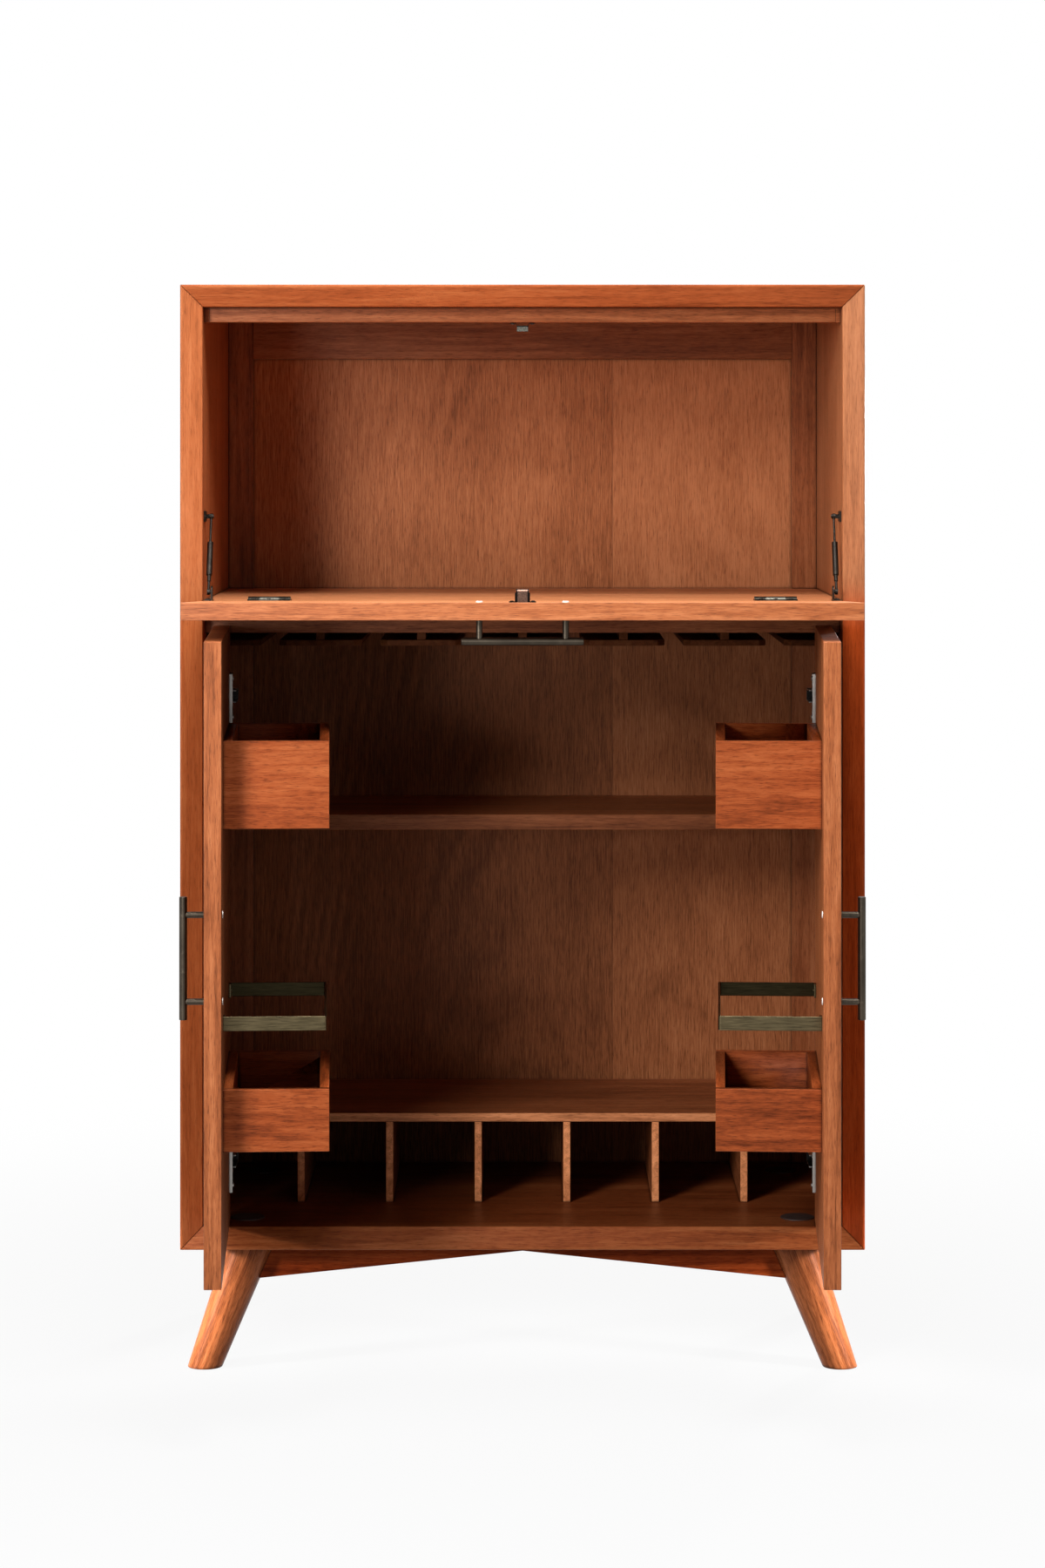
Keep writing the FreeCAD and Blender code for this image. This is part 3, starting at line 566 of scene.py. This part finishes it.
def add_disc(shape, centre, normal, radius, height, ease_share, segments):
    """Round head or cap with an eased rim, standing on a surface."""
    way = Vector(normal).normalized()
    place = standing(centre, way) @ Matrix.Translation((0, 0, height / 2))
    made = bmesh.ops.create_cone(shape, cap_ends=True, segments=segments, radius1=radius, radius2=radius,
                                 depth=height, matrix=place)
    upper = {vert for vert in made["verts"] if (vert.co - Vector(centre)).dot(way) > height / 2}
    rim = [edge for edge in shape.edges if edge.verts[0] in upper and edge.verts[1] in upper]
    bmesh.ops.bevel(shape, geom=rim, offset=height * ease_share, offset_type="OFFSET", affect="EDGES",
                    segments=2, profile=0.5, material=-1)


def screws(name, places, radius, body, slot, head, recess_shade):
    """Cross-head screws: low heads, each with a dark raised cross, painted shade that stands in for its
    recess.
    """
    height = radius * HEAD_HEIGHT_SHARE
    cross = (radius * CROSS_LENGTH_SHARE, radius * CROSS_WIDTH_SHARE, CROSS_RISE)

    def make(shape):
        for centre, normal in places:
            add_disc(shape, centre, normal, radius, height, HEAD_EASE_SHARE, HEAD_SEGMENTS)
        heads = len(shape.faces)
        for centre, normal in places:
            for turn in (CROSS_TURN, CROSS_TURN + math.pi / 2):
                spin = Matrix.Rotation(turn, 4, "Z") @ Matrix.Translation((0, 0, height))
                size = Matrix.Diagonal((*cross, 1))
                bmesh.ops.create_cube(shape, size=1.0, matrix=standing(centre, normal) @ spin @ size)
        for index, face in enumerate(shape.faces):
            face.material_index = int(index >= heads)

    return piece(name, make, body, slot, head, recess_shade)


def caps(name, places, radius, height, body, slot, finish):
    """Low round caps."""

    def make(shape):
        for centre, normal in places:
            add_disc(shape, centre, normal, radius, height, CAP_EASE_SHARE, CAP_SEGMENTS)

    return piece(name, make, body, slot, finish)


def joint(name):
    return next(one for one in frame["joints"] if one["name"] == name)


def door_point(side, u, v, z):
    """Point of an open door: u from its hinge edge, v from its outer face, z above the floor."""
    hinge = joint("%s_door_hinge" % side)
    turn = math.radians(max(hinge["range_deg"]))
    across, deep = u - HINGE_SETBACK, v - HINGE_DEPTH
    x = -SIDES[side] * (across * math.cos(turn) + deep * math.sin(turn))
    y = deep * math.cos(turn) - across * math.sin(turn)
    return Vector((hinge["pos_m"][0] + x, hinge["pos_m"][1] + y, z))


def door_inward(side):
    """Direction out of an open door's inner face."""
    return door_point(side, 0, DOOR_THICKNESS, 0) - door_point(side, 0, 0, 0)


FLAP_UP = Vector((0, math.sin(FLAP_TILT), math.cos(FLAP_TILT)))
FLAP_OUT = Vector((0, -math.cos(FLAP_TILT), math.sin(FLAP_TILT)))


def flap_point(x, reach, rise=0.0):
    """Point on the lowered drop front, from its axis."""
    axis = Vector(joint("drop_front_hinge")["pos_m"])
    return axis + Vector((x, 0, 0)) + FLAP_OUT * reach + FLAP_UP * rise


def middle(name):
    low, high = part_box(name)
    return (low + high) / 2


WOOD_NODES = {
    # node: tone, grain axis, shade, strength of the figure, sheen; on the nodes marked below, tone and
    # shade are painted light and shade
    # Aprons: dark deep tone, painted shade under the case
    "apron_front": ("deep", 0, 0.60, 1.0, 0.04),
    "apron_rear": ("deep", 0, 0.60, 1.0, 0.04),
    "case_top": ("rim", 0, 0.93, 0.7, 0.12),
    # Bottom: low shade, painted shade on the floor of the lower compartment
    "case_bottom": ("rim", 0, 0.47, 0.9, 0.08),
    "case_side_left": ("rim", 2, 0.85, 0.6, 0.12),
    "case_side_right": ("rim", 2, 0.85, 0.6, 0.08),
    "back_stiles": ("inner", 2, 1.0, 1.0, 0.12),
    "back_rail": ("inner", 0, 0.85, 1.0, 0.12),
    # Upper floor: pale tone, painted light and sheen
    "upper_floor": ("pale", 0, 1.25, 1.0, 0.15),
    # Middle shelf: high shade, painted light on its top
    "middle_shelf": ("inner", 0, 1.60, 1.0, 0.12),
    "wine_shelf": ("inner", 0, 1.15, 1.0, 0.12),
    "floor_rail": ("inner", 0, 0.9, 1.0, 0.12),
    "top_rail": ("panel", 0, 0.85, 1.0, 0.12),
    "wine_dividers": ("inner", 1, 1.0, 1.0, 0.12),
    # Stemware rack: very low shades, painted shade under the drop front
    "stem_webs": ("inner", 1, 0.35, 1.0, 0.03),
    "stem_slats": ("inner", 1, 0.40, 1.0, 0.03),
    "flap": ("panel", 0, 1.16, 1.0, 0.20),
    "left_door": ("panel", 2, 1.1, 1.0, 0.15),
    "right_door": ("panel", 2, 1.15, 1.0, 0.15),
}
PAINTED_FACE_SHADES = {
    # node: tone and shade of the faces that look along an axis, and in which of its two ways; these faces
    # are set lighter or darker as painted light and shade, on the shelf fronts partly solid edge bands
    # Floor of the lower compartment darker than the bottom's front: painted shade
    "case_bottom": ("rim", 0.60, 1, -1),
    # Middle shelf front darker than its top: painted shade under the drop front
    "middle_shelf": ("inner", 0.82, 1, -1),
    # Wine shelf and divider fronts paler: partly solid edge bands, partly painted light
    "wine_shelf": ("pale", 1.50, 1, -1),
    "wine_dividers": ("pale", 1.75, 1, -1),
    # Drop front's upper face paler and less saturated: painted sheen
    "flap": ("pale", 1.60, 2, 1),
    # Left door's inner face darker: painted shade
    "left_door": ("panel", 0.55, 0, 1),
}
SIDE_SHADE_AND_SHEEN = {
    # node: tone and shade of its front below the drop front, given a deeper tone as painted shade, and of
    # its front and inner face above it, paler as painted light and sheen, and its outward way
    "case_side_left": (("rim", 0.82), ("panel", 1.04), -1),
    "case_side_right": (("deep", 1.55), ("pale", 0.85), 1),
}
# Stretch of wood that each piece is cut from
BOARD_SHIFT = (1.7, 2.9, 4.3)
LEG_OFFSETS = {"legs_front": (0.0, 0.3, 0.0), "legs_rear": (0.8, 0.3, 2.1)}
BIN_OFFSETS = {
    "left_upper_bin": (0.0, 0.0, 0.0),
    "left_lower_bin": (0.0, 1.1, 5.7),
    "right_upper_bin": (3.3, 0.0, 1.0),
    "right_lower_bin": (3.3, 1.1, 6.7),
}
# Softened edges
BOARD_EASE = 0.9 * MM
LEG_EASE = 1.8 * MM
BIN_EASE = 0.6 * MM
METAL_EASE = 0.25 * MM
GUARD_EASE = 0.6 * MM
PULL_EASE = 0.75 * MM


def dress_wood():
    """Each board gets its own stretch of wood."""
    for index, (name, (tone, axis, shade, figure, sheen)) in enumerate(WOOD_NODES.items()):
        offset = tuple(step * index for step in BOARD_SHIFT)
        dress_node(name, board_wood(name + "_wood", tone, axis, offset, shade, figure, sheen))
        ease_edges(name, BOARD_EASE)
    low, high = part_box("legs_front")
    slope = (TOP_CASE[1].x - TOP_CASE[0].x) * LEG_LEAN_SHARE / (high.z - low.z)
    for name, offset in LEG_OFFSETS.items():
        dress_node(name, leg_wood(name + "_wood", "leg", slope, offset))
        ease_edges(name, LEG_EASE, 3)
    for name, offset in BIN_OFFSETS.items():
        dress_node(name, bin_wood(name + "_wood", "bin", offset))
        ease_edges(name, BIN_EASE)
    dress_node("back_panel", back_veneer("back_veneer"))


def dress_metal():
    """Pulls in dark bronze, stays in blackened bronze, guards in brass, door hinges in nickel and steel."""
    metals = {name: plated(name, *look) for name, look in METALS.items()}
    clip_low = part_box("catch_clip")[0].z
    leaves = two_tone("bronze_paler_at_barrels", 0, (-FLAP_HINGE_OFFSET, FLAP_HINGE_OFFSET), BARREL_HALF, *LEAF_METAL)
    for side in SIDES:
        for kind in ("pull", "pull_posts"):
            dress_node("%s_%s" % (side, kind), metals["dark_bronze"])
        for kind in ("stay_rod", "stay_sleeve"):
            dress_node("%s_%s" % (side, kind), metals["blackened_bronze"])
        dress_node("%s_hinge_cups" % side, metals["nickel"])
        dress_node("%s_hinge_pins" % side, metals["dark_steel"])
        # Arms painted dark round each arm's middle: painted shade
        low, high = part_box("%s_hinge_arms" % side)
        levels = (low.z + ARM_PLATE_HALF, high.z - ARM_PLATE_HALF)
        dress_node("%s_hinge_arms" % side,
                   two_tone("%s_arm_metal" % side, 2, levels, ARM_EDGE_RISE, *ARM_METAL))
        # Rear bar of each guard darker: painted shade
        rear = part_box("%s_bottle_guard" % side)[1].y
        dress_node("%s_bottle_guard" % side,
                   two_tone("%s_guard_metal" % side, 1, (rear,), GUARD_REAR, *GUARD_METAL,
                            stretched(0, GUARD_HAIR_SHARE)))
        ease_edges("%s_bottle_guard" % side, GUARD_EASE)
        ease_edges("%s_hinge_arms" % side, METAL_EASE)
        ease_edges("%s_hinge_cups" % side, METAL_EASE)
        ease_edges("%s_pull" % side, PULL_EASE)
    for name in ("flap_pull", "flap_pull_posts"):
        dress_node(name, metals["dark_bronze_level"])
    ease_edges("flap_pull", PULL_EASE)
    for name in ("stay_brackets", "stay_feet"):
        dress_node(name, metals["blackened_bronze"])
    for name in ("flap_hinge_leaves", "floor_hinge_leaves"):
        dress_node(name, leaves)
    dress_node("catch_tongue", two_tone("tongue_metal", 0, (0.0,), TONGUE_ROLLER_HALF, *TONGUE_METAL))
    dress_node("catch_clip", two_tone("clip_metal", 2, (clip_low,), CLIP_BOX_HEIGHT, *CLIP_METAL))
    ease_edges("catch_tongue", METAL_EASE)
    ease_edges("catch_clip", METAL_EASE)
    return metals


def add_door_fittings(metals, recess_shade, white):
    """Caps over the pull screws, and screws in cups, guards and hinge arms."""
    for side, sign in SIDES.items():
        body = "%s_door_body" % side
        inward = door_inward(side)
        pull_z = middle("%s_pull" % side).z
        cap_u = DOOR_WIDTH - PULL_INSET
        places = [(door_point(side, cap_u, DOOR_THICKNESS, pull_z + step * PULL_CENTRES / 2), inward)
                  for step in (-1, 1)]
        caps("%s_screw_caps" % side, places, CAP_RADIUS, DOOR_CAP_HEIGHT, body, "white_plastic", white)
        low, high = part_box("%s_hinge_cups" % side)
        levels = (low.z + CUP_FLANGE_HALF, high.z - CUP_FLANGE_HALF)
        face = DOOR_THICKNESS + CUP_FLANGE_THICKNESS
        places = [(door_point(side, CUP_FLANGE_MIDDLE, face, z + step * CUP_SCREW_RISE), inward)
                  for z in levels for step in (-1, 1)]
        screws("%s_cup_screws" % side, places, CUP_SCREW_RADIUS, body, "nickel", metals["nickel"], recess_shade)
        guard_z = middle("%s_bottle_guard" % side).z
        places = [(door_point(side, u, DOOR_THICKNESS + GUARD_THICKNESS, guard_z), inward)
                  for u in GUARD_TAB_MIDDLES]
        screws("%s_guard_screws" % side, places, GUARD_SCREW_RADIUS, body, "antique_brass",
               metals["antique_brass"], recess_shade)
        arms_low, arms_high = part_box("%s_hinge_arms" % side)
        wall_x = arms_low.x if sign < 0 else arms_high.x
        plate_face = wall_x - sign * ARM_PLATE_THICKNESS
        arm_face = joint("%s_door_hinge" % side)["pos_m"][0] - sign * ARM_HALF_WIDTH
        plate_y = arms_high.y - ARM_PLATE_SETBACK
        places = [((plate_face, plate_y, z + step * ARM_PLATE_SCREW_RISE), (-sign, 0, 0))
                  for z in levels for step in (-1, 1)]
        places += [((arm_face, plate_y + step * ARM_SCREW_OFFSET, z), (-sign, 0, 0))
                   for z in levels for step in (-1, 1)]
        screws("%s_arm_screws" % side, places, ARM_SCREW_RADIUS, "case", "nickel", metals["dark_steel"],
               recess_shade)


def add_flap_fittings(metals, recess_shade, white):
    """Caps over the pull screws, and screws in hinges, stay feet and catch."""
    reach = FLAP_REACH - PULL_INSET
    places = [(flap_point(step * PULL_CENTRES / 2, reach), FLAP_UP) for step in (-1, 1)]
    caps("flap_screw_caps", places, CAP_RADIUS, FLAP_CAP_HEIGHT, "drop_front_body", "white_plastic", white)
    bronze = metals["blackened_bronze"]
    leaf_xs = [sign * FLAP_HINGE_OFFSET + step * LEAF_SCREW_PITCH
               for sign in SIDES.values() for step in (-1, 0, 1)]
    places = [(flap_point(x, LEAF_MIDDLE, LEAF_THICKNESS), FLAP_UP) for x in leaf_xs]
    screws("flap_leaf_screws", places, LEAF_SCREW_RADIUS, "drop_front_body", "dark_bronze", bronze, recess_shade)
    places = [(flap_point(x, 0) + Vector((0, LEAF_MIDDLE, LEAF_THICKNESS)), (0, 0, 1)) for x in leaf_xs]
    screws("floor_leaf_screws", places, LEAF_SCREW_RADIUS, "case", "dark_bronze", bronze, recess_shade)
    reach = FLAP_REACH - CATCH_INSET
    places = [(flap_point(step * CATCH_SCREW_OFFSET, reach, CATCH_PLATE_THICKNESS), FLAP_UP)
              for step in (-1, 1)]
    screws("catch_tongue_screws", places, CATCH_SCREW_RADIUS, "drop_front_body", "dark_bronze", bronze,
           recess_shade)
    low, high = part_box("catch_clip")
    under = high.z - CATCH_PLATE_THICKNESS
    places = [((step * CATCH_SCREW_OFFSET, (low.y + high.y) / 2, under), (0, 0, -1)) for step in (-1, 1)]
    screws("catch_clip_screws", places, CATCH_SCREW_RADIUS, "case", "nickel", metals["dark_steel"], recess_shade)
    low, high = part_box("stay_feet")
    foot_x = high.x - STAY_FOOT_SCREW_INSET
    reaches = [STAY_FOOT_REACH + step * STAY_FOOT_SCREW_OFFSET for step in (-1, 1)]
    places = [(flap_point(sign * foot_x, reach, STAY_PLATE_THICKNESS), FLAP_UP)
              for sign in SIDES.values() for reach in reaches]
    screws("stay_foot_screws", places, STAY_FOOT_SCREW_RADIUS, "drop_front_body", "dark_bronze", bronze,
           recess_shade)
    low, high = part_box("stay_brackets")
    plate = high.x - STAY_PLATE_THICKNESS
    spot = middle("stay_brackets")
    places = [((sign * plate, spot.y + step * STAY_BRACKET_SCREW_OFFSET, spot.z), (-sign, 0, 0))
              for sign in SIDES.values() for step in (-1, 1)]
    screws("stay_bracket_screws", places, STAY_BRACKET_SCREW_RADIUS, "case", "dark_bronze", bronze, recess_shade)


def add_rail_ends(finish):
    """Ends of the top rail, from the rail to the case sides."""
    low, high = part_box("top_rail")
    size = high - low

    def make(shape):
        for end, sign in ((low.x, -1), (high.x, 1)):
            centre = (end + sign * RAIL_END_GAP / 2, (low.y + high.y) / 2, (low.z + high.z) / 2)
            scale = Matrix.Diagonal((RAIL_END_GAP, size.y, size.z, 1))
            bmesh.ops.create_cube(shape, size=1.0, matrix=Matrix.Translation(centre) @ scale)

    piece("top_rail_ends", make, "case", "wood", finish)


def add_case_fittings(metals, recess_shade, dark):
    """Caps over the leg bolts, and the screws round the back panel."""
    inner_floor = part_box("case_bottom")[0].z + CASE_BOARD
    rows = (CASE_FRONT + LEG_INSET, TOP_CASE[1].y - LEG_INSET)
    places = [((sign * BOLT_CAP_OFFSET, y, inner_floor), (0, 0, 1))
              for sign in SIDES.values() for y in rows]
    caps("bolt_caps", places, BOLT_CAP_RADIUS, BOLT_CAP_HEIGHT, "case", "dark_plastic", dark)
    low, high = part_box("back_panel")
    face = high.y - BACK_SCREW_SINK
    places = []
    half = (high.x - low.x) / 2 - BACK_SCREW_INSET
    base, top = low.z + BACK_SCREW_INSET, high.z - BACK_SCREW_INSET
    across = round(2 * half / BACK_SCREW_PITCH)
    upright = round((top - base) / BACK_SCREW_PITCH)
    for index in range(across + 1):
        x = -half + 2 * half * index / across
        places += [((x, face, z), (0, 1, 0)) for z in (base, top)]
    for index in range(1, upright):
        z = base + (top - base) * index / upright
        places += [((x, face, z), (0, 1, 0)) for x in (-half, half)]
    screws("back_screws", places, BACK_SCREW_RADIUS, "case", "nickel", metals["nickel"], recess_shade)


# Studio, in metres and watts
FLOOR_HALF = 40.0
FLOOR_TONE = (0.40, 0.40, 0.40, 1.0)
WHITE = (1.0, 1.0, 1.0, 1.0)
SHADOW_NEAR = 0.5
SHADOW_FAR = 2.2
SHADOW_SHARE = 0.08
AMBIENT = 0.03
WIDE = 180
LAMPS = {
    # name: place, target, width, power, spread in degrees
    "key": ((-1.5, -2.7, 2.5), (0, 0, 1.1), 0.7, 50, WIDE),
    "upper": ((-1.3, -2.3, 1.62), (0.15, 0.4, 1.25), 0.45, 28, WIDE),
    "under": ((-1.15, -2.7, 0.95), (0.2, 0.4, 0.7), 0.4, 18, WIDE),
    "top": ((0.1, -0.9, 3.0), (0, -0.2, 1.0), 0.8, 75, WIDE),
    "fill": ((2.4, -4.2, 1.8), (0, 0, 0.8), 1.5, 5, WIDE),
    "rear": ((1.6, 3.2, 1.28), (0, 0.4, 0.9), 0.3, 24, 60),
    "left_low": ((-1.5, -0.5, 0.36), (-0.4, 0.02, 0.05), 0.2, 0.6, 14),
    "right_low": ((1.5, -0.5, 0.36), (0.4, 0.02, 0.05), 0.2, 0.6, 14),
}


def seen_rays(finish):
    """One for the rays that meet the eye, directly or by a reflection."""
    camera, glossy, through = [finish.node("ShaderNodeLightPath", out=kind)
                               for kind in ("Is Camera Ray", "Is Glossy Ray", "Is Transmission Ray")]
    return camera.most(glossy).most(through)


def set_stage():
    """White paper floor and surround, which hold the shadow but stay white to the eye."""
    floor_mesh = bpy.data.meshes.new("floor")
    shape = bmesh.new()
    bmesh.ops.create_grid(shape, x_segments=1, y_segments=1, size=FLOOR_HALF)
    shape.to_mesh(floor_mesh)
    shape.free()
    floor = bpy.data.objects.new("floor", floor_mesh)
    bpy.context.scene.collection.objects.link(floor)
    paper = material("paper")
    matte = paper.node("ShaderNodeBsdfDiffuse", {}, {"Color": FLOOR_TONE})
    glow = paper.node("ShaderNodeEmission", {}, {"Color": WHITE, "Strength": 1.0})
    away = paper.node("ShaderNodeVectorMath", {"operation": "LENGTH"}, {0: paper.spot()}, out=1)
    share = away.ease(SHADOW_NEAR, SHADOW_FAR) * SHADOW_SHARE + (1 - SHADOW_SHARE)
    sheet = paper.node("ShaderNodeMixShader", {}, {0: seen_rays(paper) * share, 1: matte, 2: glow})
    paper.fill(paper.output, {"Surface": sheet})
    floor_mesh.materials.append(paper.owner)
    world = bpy.data.worlds.new("studio")
    bpy.context.scene.world = world
    air = Finish(world)
    air.fill(air.shader, {"Color": WHITE, "Strength": seen_rays(air) * (1 - AMBIENT) + AMBIENT})


def add_lamp(name, place, target, width, power, spread):
    """Soft square lamp that looks at a point, within a spread in degrees."""
    lamp = bpy.data.lights.new(name, "AREA")
    lamp.size = width
    lamp.energy = power
    lamp.spread = math.radians(spread)
    made = bpy.data.objects.new(name, lamp)
    made.location = place
    made.rotation_euler = (Vector(target) - Vector(place)).to_track_quat("-Z", "Y").to_euler()
    bpy.context.scene.collection.objects.link(made)


def add_camera():
    """Level view from straight in front, at the photograph's eye height."""
    lens = bpy.data.cameras.new("camera")
    lens.sensor_fit = "HORIZONTAL"
    lens.sensor_width = CAMERA_SENSOR
    lens.lens = CAMERA_LENS
    lens.shift_y = CAMERA_SHIFT
    made = bpy.data.objects.new("camera", lens)
    made.location = (0, CASE_FRONT - CAMERA_DISTANCE, CAMERA_HEIGHT)
    made.rotation_euler = (math.pi / 2, 0, 0)
    bpy.context.scene.collection.objects.link(made)
    bpy.context.scene.camera = made


dress_wood()
metals = dress_metal()
recess_shade, white, dark = [moulded(name, *look) for name, look in PLASTICS.items()]
add_door_fittings(metals, recess_shade, white)
add_flap_fittings(metals, recess_shade, white)
add_case_fittings(metals, recess_shade, dark)
add_rail_ends(bpy.data.materials["top_rail_wood"])
set_stage()
for lamp_name, lamp_look in LAMPS.items():
    add_lamp(lamp_name, *lamp_look)
add_camera()
bpy.context.scene.view_settings.view_transform = "Standard"
